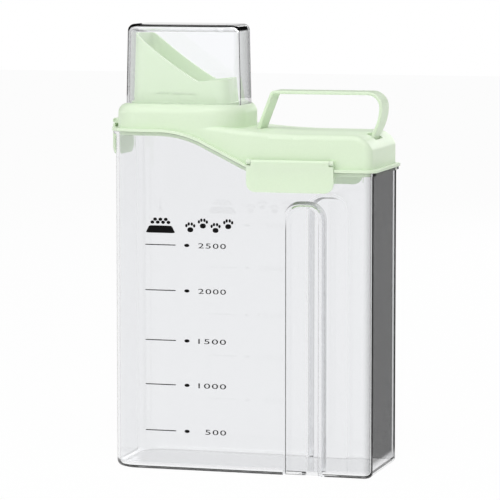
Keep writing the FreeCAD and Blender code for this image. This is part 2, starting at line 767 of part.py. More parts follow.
def scoop_outline(sketch):
    """The region over the spout's rim: a hollow curve from the tip down to the low back wall."""
    x0, z0 = value("scoop_left"), value("spout_tip")
    x1, z1 = value("scoop_right"), value("spout_lip")
    far, high, radius = value(FAR), value("spout_tip + plinth_tall"), value("scoop_radius")
    chord = math.hypot(x1 - x0, z1 - z0)
    across = math.sqrt(radius ** 2 - chord ** 2 / 4) / chord
    centre = ((x0 + x1) / 2 + (z0 - z1) * across, (z0 + z1) / 2 + (x1 - x0) * across)
    first = math.degrees(math.atan2(z0 - centre[1], x0 - centre[0])) % 360
    last = math.degrees(math.atan2(z1 - centre[1], x1 - centre[0])) % 360
    curve = arc(sketch, centre, radius, first, last)
    rise = math.tan(math.radians(value("lip_rise")))
    lip = line(sketch, (x1, z1), (far, z1 + (far - x1) * rise))
    right = line(sketch, (far, z1 + (far - x1) * rise), (far, high))
    top = line(sketch, (far, high), (x0, high))
    left = line(sketch, (x0, high), (x0, z0))
    loop = [curve, lip, right, top, left]
    for this, following in zip(loop, loop[1:] + loop[:1]):
        sketch.addConstraint(Sketcher.Constraint("Coincident", this, 2, following, 1))
    sketch.addConstraint(Sketcher.Constraint("Horizontal", top))
    for side in (right, left):
        sketch.addConstraint(Sketcher.Constraint("Vertical", side))
    bind(sketch, "Angle", lip, to="lip_rise")
    bind(sketch, "DistanceX", curve, 1, to="scoop_left")
    bind(sketch, "DistanceY", curve, 1, to="spout_tip")
    bind(sketch, "DistanceX", curve, 2, to="scoop_right")
    bind(sketch, "DistanceY", curve, 2, to="spout_lip")
    bind(sketch, "Radius", curve, to="scoop_radius")
    bind(sketch, "DistanceX", right, 1, to=FAR)
    bind(sketch, "DistanceY", top, 1, to="spout_tip + plinth_tall")


def make_cup():
    """Clear measuring cup, upside down over the spout: drafted walls, thick round-edged base."""
    cup = new_body("measuring_cup")
    mouth = "recess_floor + cup_lift"
    pad_up(cup, cup_outline, "0", mouth, mouth + " + cup_height", "-cup_draft")
    fillet(cup, "cup_round", level_edges(mouth + " + cup_height"))
    inside = new_sketch(cup, "XY_Plane", mouth)
    cup_outline(inside, "cup_wall")
    pocket(cup, inside, "cup_height - cup_base", "-cup_draft", reverse=True)
    fillet(cup, "cup_round - cup_wall", level_edges(mouth + " + cup_height - cup_base"))
    return cup


def make_cup_ring():
    """Soft ring in the plinth's groove, against the cup's inner wall."""
    ring = new_body("cup_seal_ring")
    sketch = new_sketch(ring, "XY_Plane", "recess_floor + ring_level + seal_gap / 2")
    cup_outline(sketch, "cup_wall + ring_gap")
    cup_outline(sketch, "cup_wall + plinth_inset + ring_sunk")
    pad(ring, sketch, "ring_tall")
    return ring


def strap_path(sketch):
    """The middle line of the handle: a leaning left leg, a level grip and a curled right leg."""
    foot, top = value("deck_height - foot_deep"), value("strap_top")
    lean, curl = math.radians(value("strap_lean")), math.radians(value("curl_angle"))
    left, bend, bend_up = value("strap_left"), value("strap_bend"), value("deck_height")
    right, shoulder, curl_radius = value("strap_right"), value("strap_shoulder"), value("strap_curl")
    first_end = (left + bend * (1 - math.cos(lean)), bend_up + bend * math.sin(lean))
    leg_top = top - bend + bend * math.sin(lean)
    second_start = (first_end[0] + (leg_top - first_end[1]) * math.tan(lean), leg_top)
    corner = (second_start[0] + bend * math.cos(lean), top - bend)
    curl_end = (
        right - curl_radius * (1 - math.cos(curl)),
        top - shoulder - curl_radius * math.sin(curl),
    )
    curl_foot = value("deck_height - curl_foot")
    last = (curl_end[0] - (curl_end[1] - curl_foot) * math.tan(curl), curl_foot)
    root = line(sketch, (left, foot), (left, bend_up))
    first_bend = arc(sketch, (left + bend, bend_up), bend, 180 - value("strap_lean"), 180)
    leg = line(sketch, first_end, second_start)
    corner_bend = arc(sketch, corner, bend, 90, 180 - value("strap_lean"))
    grip = line(sketch, (corner[0], top), (right - shoulder, top))
    shoulder_bend = arc(sketch, (right - shoulder, top - shoulder), shoulder, 0, 90)
    curl_bend = arc(sketch, (right - curl_radius, top - shoulder), curl_radius, -value("curl_angle"), 0)
    end = line(sketch, curl_end, last)
    tangent(sketch, root, 2, first_bend, 2)
    tangent(sketch, first_bend, 1, leg, 1)
    tangent(sketch, leg, 2, corner_bend, 2)
    tangent(sketch, corner_bend, 1, grip, 1)
    tangent(sketch, grip, 2, shoulder_bend, 2)
    tangent(sketch, shoulder_bend, 1, curl_bend, 2)
    tangent(sketch, curl_bend, 1, end, 1)
    sketch.addConstraint(Sketcher.Constraint("Vertical", root))
    sketch.addConstraint(Sketcher.Constraint("Horizontal", grip))
    bind(sketch, "Radius", first_bend, to="strap_bend")
    bind(sketch, "Radius", corner_bend, to="strap_bend")
    bind(sketch, "Radius", shoulder_bend, to="strap_shoulder")
    bind(sketch, "Radius", curl_bend, to="strap_curl")
    bind(sketch, "DistanceX", root, 1, to="strap_left")
    bind(sketch, "DistanceY", root, 1, to="deck_height - foot_deep")
    bind(sketch, "DistanceY", root, 2, to="deck_height")
    bind(sketch, "Angle", leg, to="90 - strap_lean")
    bind(sketch, "DistanceY", grip, 1, to="strap_top")
    bind(sketch, "DistanceX", shoulder_bend, 3, to="strap_right - strap_shoulder")
    bind(sketch, "DistanceY", curl_bend, 3, to="strap_top - strap_shoulder")
    bind(sketch, "Angle", end, to="-90 - curl_angle")
    bind(sketch, "DistanceY", end, 2, to="deck_height - curl_foot")


def make_handle():
    """Strap handle: one flat section carried along the path, with barbs on both feet."""
    handle = new_body("handle")
    path = new_sketch(handle, "XZ_Plane")
    strap_path(path)
    section = new_sketch(handle, "XY_Plane", "deck_height - foot_deep")
    corner = "strap_thick / 4"
    rounded_outline(section, "strap_left - strap_thick / 2", "strap_left + strap_thick / 2",
                    "-strap_width / 2", "strap_width / 2", corner, corner)
    pipe = handle.newObject("PartDesign::AdditivePipe", "handle_pipe")
    pipe.Profile = section
    pipe.Spine = (path, [])
    doc.recompute()
    curl_end = curl_crossing("deck_height - curl_foot + foot_tall / 2")
    barbs = (
        ("foot_deep", "strap_left - strap_thick / 2 - foot_out", "strap_left + strap_thick / 2 + foot_out"),
        ("curl_foot", "(%s) - strap_thick / 2 - curl_catch" % curl_end, "(%s)" % curl_end),
    )
    for depth, left, right in barbs:
        barb = new_sketch(handle, "XY_Plane", "deck_height - %s" % depth)
        front, back = "-strap_width / 4", "strap_width / 4"
        straight_outline(barb, [(left, front), (right, front), (right, back), (left, back)])
        pad(handle, barb, "foot_tall")
    return handle


def clasp_frame(body, side):
    """Turns and places a body drawn in a clasp's own frame at one of the three sides."""
    turn = {"front": 0, "back": 180, "end": -90}[side]
    out = "tank_depth / 2 + pivot_out"
    spots = {
        "front": ("side_clasp_middle", "-(%s)" % out, "rim_low + pivot_lift"),
        "back": ("side_clasp_middle", out, "rim_low + pivot_lift"),
        "end": ("-tank_width / 2 - pivot_out", "0", "rim_high + pivot_lift"),
    }
    body.Placement = FreeCAD.Placement(V(0, 0, 0), FreeCAD.Rotation(V(0, 0, 1), turn))
    for letter, text in zip("xyz", spots[side]):
        body.setExpression("Placement.Base." + letter, linked(text))
    doc.recompute()
    return body


def make_notch(label, side, width):
    """The bite out of the lid's flange: deep where the barrel turns, shallow where the plate hangs."""
    notch = new_body(label)
    sketch = new_sketch(notch, "YZ_Plane")
    straight_outline(
        sketch,
        [
            ("-2 * flange_out", "-pivot_lift"),
            ("barrel_gap", "-pivot_lift"),
            ("barrel_gap", "-barrel_radius - barrel_gap"),
            ("barrel_radius + barrel_gap", "-barrel_radius - barrel_gap"),
            ("barrel_radius + barrel_gap", "2 * flange_out"),
            ("-2 * flange_out", "2 * flange_out"),
        ],
    )
    pad(notch, sketch, "(%s) + 2 * ear_gap" % width, middle=True)
    return clasp_frame(notch, side)


def make_lid():
    """The lid: rim, walls and ears in one moulding, hollow, with a groove for the seal."""
    widths = {"front": "side_clasp_width", "back": "side_clasp_width", "end": "end_clasp_width"}
    whole = combine("Part::MultiFuse", "lid_whole", make_lid_rim(), [make_lid_top()])
    notches = [make_notch(side + "_notch", side, width) for side, width in widths.items()]
    all_notches = combine("Part::MultiFuse", "notches", notches[0], notches[1:])
    bitten = combine("Part::Cut", "lid_bitten", whole, [all_notches])
    roots = {"front": "ear_root", "back": "ear_root", "end": "ear_root + pour_inset - lid_inset"}
    ears = [clasp_frame(make_ears(side + "_ears", widths[side], roots[side]), side) for side in widths]
    outer = combine("Part::MultiFuse", "lid_outer", bitten, ears)
    groove = wavy_ring("seal_groove", "seal_inset - seal_gap", "seal_inset + seal_wide + seal_gap",
                       "0", "seal_lift + seal_tall + seal_gap")
    removed = combine("Part::MultiFuse", "lid_removed", make_lid_hollow(), [groove])
    return combine("Part::Cut", "lid", outer, [removed])


def build():
    pieces = {
        "tank": make_tank(),
        "lid": make_lid(),
        "rim_seal": wavy_ring("rim_seal", "seal_inset", "seal_inset + seal_wide", "seal_lift", "seal_lift + seal_tall"),
        "pour_spout": make_spout(),
        "cup_seal_ring": make_cup_ring(),
        "measuring_cup": make_cup(),
        "handle": make_handle(),
        "front_clasp": clasp_frame(make_clasp("front_clasp", "side_clasp_width", "side_clasp_drop"), "front"),
        "back_clasp": clasp_frame(make_clasp("back_clasp", "side_clasp_width", "side_clasp_drop"), "back"),
        "end_clasp": clasp_frame(make_clasp("end_clasp", "end_clasp_width", "end_clasp_drop"), "end"),
    }
    doc.recompute()
    return pieces


def export(pieces):
    """Checks the document and each piece, then writes one file for each piece."""
    for item in doc.Objects:
        if "Invalid" in item.State or "Error" in item.State:
            raise ValueError(item.Name + " did not build: " + ", ".join(item.State))
    middle = V(value("(pivot_out + ear_radius - flange_out) / 2"), 0, 0)
    os.makedirs("parts", exist_ok=True)
    for name, piece in pieces.items():
        shape = piece.Shape.copy()
        if shape.isNull() or not shape.isValid():
            raise ValueError(name + " is not a valid solid")
        shape.translate(middle)
        box = shape.BoundBox
        print(name, len(shape.Solids), "solid", round(shape.Volume), "mm3",
              [round(n, 2) for n in (box.XMin, box.XMax, box.YMin, box.YMax, box.ZMin, box.ZMax)])
        shape.exportStep(os.path.join("parts", name + ".step"))


export(build())
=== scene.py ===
# %% [markdown]
# # Pet food storage container
# A clear tank with two grip grooves, a mint green lid whose rim follows a wave, three swing clasps,
# a strap handle, and a pour spout under a clear measuring cup. The CAD model is loaded as a fixed
# frame in metres, and its shapes stay as they are. This file gives each piece its finish, adds the
# print and the small ribs, and puts the whole in a plain studio.

# %% Load the frame
import math

import bpy
import numpy as np
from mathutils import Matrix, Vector


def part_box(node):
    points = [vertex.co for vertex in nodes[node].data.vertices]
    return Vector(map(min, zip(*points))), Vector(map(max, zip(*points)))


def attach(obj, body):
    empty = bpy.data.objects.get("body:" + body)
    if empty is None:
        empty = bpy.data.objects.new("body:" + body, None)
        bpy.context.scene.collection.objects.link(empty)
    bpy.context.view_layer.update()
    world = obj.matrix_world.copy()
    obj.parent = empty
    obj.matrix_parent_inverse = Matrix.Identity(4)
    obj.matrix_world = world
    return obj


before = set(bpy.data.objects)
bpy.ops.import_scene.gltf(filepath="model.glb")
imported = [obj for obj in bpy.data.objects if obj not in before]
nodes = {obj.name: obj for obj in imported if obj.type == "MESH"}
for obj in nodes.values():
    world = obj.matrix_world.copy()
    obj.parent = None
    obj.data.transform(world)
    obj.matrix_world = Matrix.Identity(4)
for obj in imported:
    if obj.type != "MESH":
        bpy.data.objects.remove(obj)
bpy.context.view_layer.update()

# %% [markdown]
# ## The camera
# The photograph looks along the front from 16 degrees to the right of square and 6 degrees above.
# A camera can be placed by eye, or worked out from points whose true places are known. The second
# way was used: the direction, the distance and the lens were fitted to the tank's outline. The long
# lens keeps the uprights almost parallel, as on the real picture, and nothing has to be shifted.

# %% Camera
AZIMUTH = math.radians(15.958)
ELEVATION = math.radians(5.909)
DISTANCE = 2.31107
LOOK_AT = np.array([-0.002695, 0.0, 0.160205])
FOCAL_PIXELS = 3128.7
FRAME_PIXELS = 500
SENSOR = 36
TOWARDS_CAMERA = np.array([
    math.sin(AZIMUTH) * math.cos(ELEVATION),
    -math.cos(AZIMUTH) * math.cos(ELEVATION),
    math.sin(ELEVATION),
])


def aim(thing, place, target):
    """Puts a camera or lamp at a place, with its -Z axis towards the target."""
    thing.location = place
    thing.rotation_mode = "QUATERNION"
    thing.rotation_quaternion = (Vector(target) - Vector(place)).to_track_quat("-Z", "Y")


camera_data = bpy.data.cameras.new("camera")
camera_data.lens = FOCAL_PIXELS * SENSOR / FRAME_PIXELS
camera_data.clip_start = 0.1
camera_data.clip_end = 20
camera = bpy.data.objects.new("camera", camera_data)
bpy.context.scene.collection.objects.link(camera)
aim(camera, LOOK_AT + DISTANCE * TOWARDS_CAMERA, LOOK_AT)
bpy.context.scene.camera = camera
bpy.context.scene.view_settings.view_transform = "Standard"
print("lens", round(camera_data.lens, 1), "mm, camera at", [round(n, 3) for n in camera.location])


# %% [markdown]
# ## Node helpers
# Each finish is one Principled BSDF with a few procedural nodes round it. Nodes can be wired by
# hand in the shader editor, or one call at a time in code. Small helpers are used here, so that
# each finish further on reads as a short recipe.

# %% Material helper
def new_material(name, **settings):
    """A material with one Principled BSDF; settings are its socket names with _ for spaces."""
    material = bpy.data.materials.new(name)
    material.use_nodes = True
    tree = material.node_tree
    shader = next(node for node in tree.nodes if node.type == "BSDF_PRINCIPLED")
    for key, value in settings.items():
        shader.inputs[key.replace("_", " ")].default_value = value
    return material, tree, shader


# %% Node helpers
def add(tree, kind, **settings):
    """Adds a node and sets its properties; keys that start with in_ are input sockets by number."""
    node = tree.nodes.new("ShaderNode" + kind)
    for key, value in settings.items():
        if key.startswith("in_"):
            node.inputs[int(key[3:])].default_value = value
        else:
            setattr(node, key, value)
    return node


def calculate(tree, operation, *terms):
    """One Math node; each term is a number, or an output socket that is linked to it."""
    node = add(tree, "Math", operation=operation)
    for number, term in enumerate(terms):
        if isinstance(term, (int, float)):
            node.inputs[number].default_value = term
        else:
            tree.links.new(term, node.inputs[number])
    return node.outputs[0]


def smooth_step(tree, value, low, high, below, above):
    """Runs from one number below the low place to another above the high place, with no corner."""
    node = add(
        tree, "MapRange", interpolation_type="SMOOTHSTEP", in_1=low, in_2=high, in_3=below, in_4=above
    )
    tree.links.new(value, node.inputs["Value"])
    return node.outputs[0]


def mixed(tree, share, first, second, blend="MIX"):
    """Colour = first * (1 - share) + other * share, where other is the second colour, or the first
    times the second with the blend MULTIPLY. The second is a socket or the shade of a grey."""
    node = add(tree, "Mix", data_type="RGBA", blend_type=blend)
    tree.links.new(share, node.inputs[0])
    tree.links.new(first, node.inputs[6])
    if isinstance(second, float):
        node.inputs[7].default_value = (second, second, second, 1)
    else:
        tree.links.new(second, node.inputs[7])
    return node.outputs[2]


def object_place(tree):
    """The sockets X, Y and Z of a point on the object, in metres."""
    where = add(tree, "TexCoord")
    parts = add(tree, "SeparateXYZ")
    tree.links.new(where.outputs["Object"], parts.inputs[0])
    return parts.outputs


# %% [markdown]
# ## Grain and tone
# A moulded surface is never quite even. Steel moulds are spark-eroded for a satin part and polished
# for a clear one, and the plastic carries either surface. Such grain could be cut into the mesh, but
# it is far too fine for that. It is a bump from a noise instead, and the same noise moves the colour
# between two near tones.

# %% Grain and tone
def moulded_grain(tree, shader, scale, strength, distance):
    """Bump = strength * noise(object coordinates * scale)."""
    where = add(tree, "TexCoord")
    noise = add(tree, "TexNoise")
    noise.inputs["Scale"].default_value = scale
    noise.inputs["Detail"].default_value = 3
    bump = add(tree, "Bump")
    bump.inputs["Strength"].default_value = strength
    bump.inputs["Distance"].default_value = distance
    tree.links.new(where.outputs["Object"], noise.inputs["Vector"])
    tree.links.new(noise.outputs["Fac"], bump.inputs["Height"])
    tree.links.new(bump.outputs["Normal"], shader.inputs["Normal"])
    return noise


def two_toned(tree, shader, noise, low, high):
    """Colour runs from the low tone at noise 0.35 to the high tone at noise 0.65."""
    ramp = add(tree, "ValToRGB")
    for stop, position, tone in zip(ramp.color_ramp.elements, (0.35, 0.65), (low, high)):
        stop.position = position
        stop.color = (*tone, 1)
    tree.links.new(noise.outputs["Fac"], ramp.inputs["Fac"])
    tree.links.new(ramp.outputs["Color"], shader.inputs["Base Color"])


# %% [markdown]
# ## Clear plastic
# The tank and the cup are clear plastic that bends light as acrylic does, polished, with a faint
# ripple from the mould. On a white ground it has dark edges and a dark end wall, because there the
# eye looks along the wall and sees what lies round the studio instead of the white behind. A plain
# glass shader could show that in a dark room with a lit ground, but in an even, bright studio it
# loses most of it. So that shade is painted into the plastic's colour: a tint that deepens as its
# surface turns away from the eye, read from Layer Weight, which works the same from every side.

# %% Clear shader, its tint and its painted edge shade
COOL_CAST = (0.985, 0.99, 1.0)


def clear_plastic(name):
    """A polished clear material, and a Layer Weight node that says how far it turns away."""
    material, tree, shader = new_material(
        name, Roughness=0.0, IOR=1.49, Transmission_Weight=1.0, Specular_IOR_Level=0.2
    )
    moulded_grain(tree, shader, 22.0, 0.01, 0.002)
    return material, tree, shader, add(tree, "LayerWeight", in_0=0.5)


def tint_ramp(tree, turned, stops):
    """Tint and painted edge shade, read from how far the surface turns away: 0 faces the eye, 1 is
    edge on.
    """
    ramp = add(tree, "ValToRGB")
    elements = ramp.color_ramp.elements
    for number, (position, shade) in enumerate(stops):
        stop = elements[number] if number < 2 else elements.new(position)
        stop.position = position
        stop.color = (*(shade * cast for cast in COOL_CAST), 1)
    tree.links.new(turned.outputs["Facing"], ramp.inputs["Fac"])
    return ramp.outputs["Color"]


# %% [markdown]
# ## The tank's finish
# The grip end has square corners and a dark end wall; the pour end is round and stays pale, and so
# does the foot of the walls. The deep tint, with its painted edge shade, is therefore mixed with a
# thin one along the object's own axes. Near the back corner light runs up the wall as one pale line,
# a painted highlight; the front darkens over the last few millimetres before the end wall, in painted
# shade; and each groove has a fine dark line of painted shade on its upright edges, where the wall is
# bent sharply. These three are also places on the object, so they stay put when the eye moves.

# %% Painted highlight and painted shades of the tank, in metres
GROOVE_LEFT, GROOVE_RIGHT = 0.0361, 0.0601
GROOVE_SHADE_LINE_HALF = 0.0005
GROOVE_ARCH = (0.180, 0.192)
BROAD_SIDE = 0.0402


def groove_lines(tree, place, edges):
    """Painted shade: a dark line on each groove's upright edges; edges are rows of place, side and
    strength.

    line = strength * (|x - edge| < half width) * (y beyond the broad side) * (z below the arch)
    """
    total = 0.0
    for edge, side, strength in edges:
        near = calculate(tree, "COMPARE", place["X"], edge, GROOVE_SHADE_LINE_HALF)
        beyond = "LESS_THAN" if side < 0 else "GREATER_THAN"
        outside = calculate(tree, beyond, place["Y"], side * BROAD_SIDE)
        both = calculate(tree, "MULTIPLY", near, outside)
        total = calculate(tree, "MULTIPLY_ADD", both, strength, total)
    return calculate(tree, "MULTIPLY", total, smooth_step(tree, place["Z"], *GROOVE_ARCH, 1.0, 0.0))


def end_wall_line(tree, place, middle=0.0275, half=0.0025, beyond=0.092):
    """Painted highlight, 1 in an upright stripe on the end wall: |y - middle| < half, and x beyond the
    given place.
    """
    near = calculate(tree, "COMPARE", place["Y"], middle, half)
    return calculate(tree, "MULTIPLY", near, calculate(tree, "GREATER_THAN", place["X"], beyond))


def corner_shade(tree, place, low=0.0925, high=0.1045, side=0.035):
    """Painted shade, 0 to 1 as x goes from low to high, on the broad sides only: |y| > side."""
    rising = smooth_step(tree, place["X"], low, high, 0.0, 1.0)
    out = calculate(tree, "ABSOLUTE", place["Y"])
    return calculate(tree, "MULTIPLY", rising, calculate(tree, "GREATER_THAN", out, side))


# %% Tank finish
tank_clear, tree, shader, turned = clear_plastic("tank_clear")
place = object_place(tree)
# The thin and the deep tint, each with painted shade that deepens towards the edges.
thin = tint_ramp(tree, turned, [(0.0, 0.93), (0.70, 0.90), (0.88, 0.55), (0.94, 0.10), (0.98, 0.002)])
tint_and_shade = tint_ramp(tree, turned, [(0.0, 0.93), (0.45, 0.90), (0.62, 0.35), (0.72, 0.02), (0.86, 0.002)])
# The thin tint, with less painted shade, at the round pour end and at the foot of the walls.
pour_end = smooth_step(tree, place["X"], -0.078, -0.060, 1.0, 0.0)
tint_and_shade = mixed(tree, pour_end, tint_and_shade, thin)
foot = smooth_step(tree, place["Z"], 0.006, 0.012, 1.0, 0.0)
tint_and_shade = mixed(tree, foot, tint_and_shade, thin)
# Painted highlight: a pale stripe of the thin tint up the end wall.
tint_and_shade = mixed(tree, end_wall_line(tree, place), tint_and_shade, thin)
# Painted shade: the front darkens over the last millimetres before the end wall.
tint_and_shade = mixed(tree, corner_shade(tree, place), tint_and_shade, 0.05, "MULTIPLY")
# Painted shade: dark lines on the grooves' upright edges, front and back.
edges = [
    (GROOVE_LEFT, -1, 1.0), (GROOVE_RIGHT, -1, 0.5), (GROOVE_LEFT, 1, 0.4), (GROOVE_RIGHT, 1, 1.0)
]
tint_and_shade = mixed(tree, groove_lines(tree, place, edges), tint_and_shade, 0.0)
tree.links.new(tint_and_shade, shader.inputs["Base Color"])
print("tank_clear has", len(tree.nodes), "nodes")

# %% [markdown]
# ## The cup's finish
# The cup is the same plastic, thinner. On the photograph its short wall runs from pale at the front
# to dark at the back, and its left corner darkens over a few millimetres. Here both are painted shade
# in the cup's tint. One tint for the whole cup could give only one of the two, because both come
# from walls turned away alike. So two bands along the cup's own axes bring in two paler tints, with
# less painted shade: one towards the front, and one by the left wall.

# %% Cup finish
cup_clear, tree, shader, turned = clear_plastic("cup_clear")
place = object_place(tree)
cup_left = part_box("measuring_cup")[0][0]
paler = tint_ramp(tree, turned, [(0.0, 0.99), (0.60, 0.97), (0.74, 0.86), (0.84, 0.30), (0.92, 0.001)])
softer = tint_ramp(
    tree, turned, [(0.0, 0.99), (0.30, 0.95), (0.42, 0.85), (0.56, 0.62), (0.70, 0.25), (0.82, 0.001)]
)
tint_and_shade = tint_ramp(tree, turned, [(0.0, 0.99), (0.45, 0.95), (0.60, 0.60), (0.70, 0.04), (0.80, 0.001)])
# Less painted shade towards the front and by the left wall, from the paler tints.
towards_front = smooth_step(tree, place["Y"], -0.020, 0.040, 1.0, 0.0)
tint_and_shade = mixed(tree, towards_front, tint_and_shade, paler)
by_left_wall = smooth_step(tree, place["X"], cup_left + 0.008, cup_left + 0.012, 1.0, 0.0)
tint_and_shade = mixed(tree, by_left_wall, tint_and_shade, softer)
tree.links.new(tint_and_shade, shader.inputs["Base Color"])
print("the cup's left wall is at", round(1000 * cup_left, 1), "mm")

# %% [markdown]
# ## Mint plastic and rubber
# The lid, spout, handle and clasps are one mint green, satin plastic. A colour with a soft gloss
# would nearly do, but light enters the real plastic a little and softens its shadows, so it also
# scatters light over 3 mm under its surface. Its grain is fine. The two seals are a milky, softer
# rubber with a coarser grain.

# %% Mint plastic and seal rubber
mint, tree, shader = new_material(
    "mint_plastic", Roughness=0.42, IOR=1.46,
    Subsurface_Weight=0.3, Subsurface_Radius=(1, 1, 1), Subsurface_Scale=0.003,
)
grain = moulded_grain(tree, shader, 900.0, 0.10, 0.0002)
two_toned(tree, shader, grain, (0.698, 0.818, 0.628), (0.712, 0.832, 0.640))
rubber, tree, shader = new_material("seal_rubber", Roughness=0.55, IOR=1.41)
grain = moulded_grain(tree, shader, 300.0, 0.1, 0.0003)
two_toned(tree, shader, grain, (0.70, 0.72, 0.70), (0.78, 0.80, 0.78))
print("made", mint.name, "and", rubber.name)

# %% [markdown]
# ## Finishes on the pieces
# Every CAD node gets its finish in its material slot. Real clear plastic hardly shades what is
# behind it, but a renderer that traces light from the eye finds few ways through it, and the spout
# under the cup would turn dark. So the tank and the cup let lamp light and scattered light pass.

# %% Finishes on the nodes
FINISH = {"tank": tank_clear, "measuring_cup": cup_clear, "rim_seal": rubber, "cup_seal_ring": rubber}
for name, node in nodes.items():
    node.data.materials.clear()
    node.data.materials.append(FINISH.get(name, mint))
for name in ("tank", "measuring_cup"):
    nodes[name].visible_shadow = False
    nodes[name].visible_diffuse = False
print("finishes on", len(nodes), "nodes")

# %% [markdown]
# ## The print on the tank
# The front is printed in black: five fill lines, each with a dot and a number, and small pictures
# above them. Print could be part of the tank's material, but edges this sharp need geometry, and
# as pieces of their own the marks can be changed one by one. The ink is a film 0.12 mm thick that
# starts 0.01 mm before the wall. Every mark is an outline worked out as an array and carried back
# to a flat prism, which is closed and costs a few dozen faces.

# %% Ink
INK_FRONT, INK_BACK = -0.04113, -0.04101
ink, tree, shader = new_material("black_ink", Roughness=0.6, IOR=1.45, Specular_IOR_Level=0.05)
grain = moulded_grain(tree, shader, 1500.0, 0.2, 0.0001)
two_toned(tree, shader, grain, (0.003, 0.003, 0.003), (0.008, 0.008, 0.008))
print("ink film", round(1000 * (INK_BACK - INK_FRONT), 2), "mm thick")


# %% Outlines and flat prisms
def new_object(name, points, faces, finish):
    """An object at the origin, with its place in its mesh and one finish."""
    mesh = bpy.data.meshes.new(name)
    mesh.from_pydata(np.asarray(points).tolist(), [], faces)
    mesh.materials.append(finish)
    thing = bpy.data.objects.new(name, mesh)
    bpy.context.scene.collection.objects.link(thing)
    return thing


def oval(middle, half_wide, half_tall, power=2.0, count=40):
    """Closed outline: |x/a|^power + |z/b|^power = 1 round a middle, anticlockwise from the front."""
    turn = np.linspace(0, 2 * np.pi, count, endpoint=False)
    x = np.sign(np.cos(turn)) * np.abs(np.cos(turn)) ** (2 / power)
    z = np.sign(np.sin(turn)) * np.abs(np.sin(turn)) ** (2 / power)
    return np.column_stack([middle[0] + half_wide * x, middle[1] + half_tall * z])


def printed(name, outlines, front_at=INK_FRONT, back_at=INK_BACK, finish=ink, body="tank"):
    """One object of flat prisms: each outline in mm on a front plane, and again on a back plane."""
    points, faces, start = [], [], 0
    for outline in outlines:
        count = len(outline)
        front = np.column_stack([outline[:, 0] / 1000, np.full(count, front_at), outline[:, 1] / 1000])
        points += [front, front + [0, back_at - front_at, 0]]
        around = np.arange(count)
        after = (around + 1) % count
        sides = start + np.column_stack([around, around + count, after + count, after])
        faces += [list(start + around), list(start + count + around[::-1])] + sides.tolist()
        start += 2 * count
    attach(new_object(name, np.vstack(points), faces, finish), body)
    print(name, len(outlines), "marks,", len(faces), "faces")


# %% Fill lines and dots, in mm
LEVELS = {2500: 166.6, 2000: 133.2, 1500: 96.4, 1000: 63.6, 500: 29.5}
LINE_MIDDLE, LINE_HALF_LONG, LINE_HALF_TALL = -59.05, 11.65, 0.34
DOT_MIDDLE, DOT_HALF_WIDE, DOT_HALF_TALL = -38.9, 1.95, 1.2
printed("fill_lines", [
    oval((LINE_MIDDLE, level), LINE_HALF_LONG, LINE_HALF_TALL, power=12.0) for level in LEVELS.values()
])
printed("fill_dots", [
    oval((DOT_MIDDLE, level), DOT_HALF_WIDE, DOT_HALF_TALL) for level in LEVELS.values()
])

# %% [markdown]
# ## The numbers
# The fill numbers are plain figures, low and wide. They could be drawn stroke by stroke, but
# Blender's own font already has clean outlines. Each number is made as a solid text, and its points
# are then stretched to the cut of the print and moved onto the tank, so the object stays at the
# origin.

# %% Plain numbers, in mm
NUMBER_LEFT, NUMBER_TALL, NUMBER_WIDE = -30.2, 3.7, 21.0
LONGEST = 4


def solid_text(text):
    """Points and faces of a text in Blender's own font, as arrays."""
    curve = bpy.data.curves.new("figures", "FONT")
    curve.body = text
    curve.space_character = 1.15
    curve.resolution_u = 6
    curve.extrude = 0.5
    holder = bpy.data.objects.new("figures", curve)
    mesh = bpy.data.meshes.new_from_object(holder)
    points = np.empty(3 * len(mesh.vertices))
    corners = np.empty(len(mesh.loops), dtype=np.int32)
    starts = np.empty(len(mesh.polygons), dtype=np.int32)
    mesh.vertices.foreach_get("co", points)
    mesh.loops.foreach_get("vertex_index", corners)
    mesh.polygons.foreach_get("loop_start", starts)
    bpy.data.objects.remove(holder)
    bpy.data.meshes.remove(mesh)
    return points.reshape(-1, 3), np.split(corners, starts[1:])


def printed_numbers(name, rows):
    """Each text's box is stretched to its share of the row: place = low + share * size."""
    points, faces, start = [], [], 0
    for text, level in rows:
        flat, corners = solid_text(text)
        low, high = flat.min(axis=0), flat.max(axis=0)
        share = (flat - low) / (high - low)
        letter = NUMBER_WIDE / LONGEST
        x = NUMBER_LEFT + (LONGEST - len(text)) * letter + share[:, 0] * len(text) * letter
        y = INK_BACK + share[:, 2] * (INK_FRONT - INK_BACK)
        z = level + (share[:, 1] - 0.5) * NUMBER_TALL
        points.append(np.column_stack([x / 1000, y, z / 1000]))
        faces += [(start + face).tolist() for face in corners]
        start += len(flat)
    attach(new_object(name, np.vstack(points), faces, ink), "tank")
    print(name, len(faces), "faces")


printed_numbers("fill_numbers", [(str(volume), level) for volume, level in LEVELS.items()])


# %% [markdown]
# ## The bowl and the paw prints
# Two small pictures stand over the fill lines: a heaped bowl, and a row of four paw prints. They
# are plain signs for a pet's meal, made from the same ovals as the dots. Seven ovals in two rows
# are the heap, and a pad with four toes on an arc is a paw.

# %% Bowl and paw prints, in mm
BOWL_MIDDLE, BOWL_WIDE, BOWL_TALL, BOWL_LEAN = (-59.0, 178.0), 20.0, 5.4, -0.28
HEAP_BASE, HEAP_STEP, HEAP_RISE = 183.1, 4.1, 1.5
HEAP_ROWS = ((-1.5, 0), (-0.5, 0), (0.5, 0), (1.5, 0), (-1, 1.45), (0, 1.45), (1, 1.45))
PAW_FIRST, PAW_STEP, PAW_LEVEL, PAW_SWAY, PAW_SIZE = -36.2, 9.6, 181.4, 1.5, 8.6
TOE_ANGLES = np.radians([-52.0, -18.0, 18.0, 52.0])


